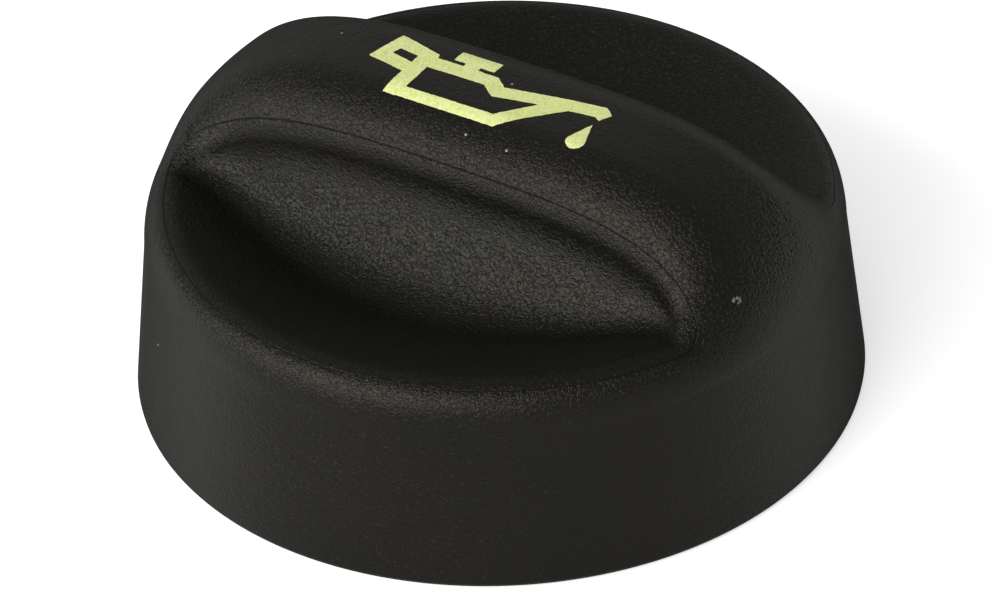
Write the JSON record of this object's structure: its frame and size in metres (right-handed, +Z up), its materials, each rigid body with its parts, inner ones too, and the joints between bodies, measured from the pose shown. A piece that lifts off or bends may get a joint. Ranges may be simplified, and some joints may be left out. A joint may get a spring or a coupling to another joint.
{
  "type": "oil filler cap",
  "caption": "Round domed oil filler cap with a finger-grip bar between deep scoops, a bayonet plug with lugs and a rubber seal ring under its skirt.",
  "frame": {"origin": "centre of the circle on which the skirt's foot stands", "axes": "+X along the grip bar, +Z up along the cap's axis, away from the engine; +Y towards one finger scoop"},
  "size_m": [0.06, 0.06, 0.0273],
  "materials": {
    "shell_plastic": "fine moulded grain, satin black",
    "plug_plastic": "smooth moulded, dark grey",
    "seal_rubber": "matt black"
  },
  "bodies": {
    "root": {"cap_shell": "shell_plastic", "bayonet_plug": "plug_plastic", "seal_ring": "seal_rubber"}
  },
  "joints": []
}
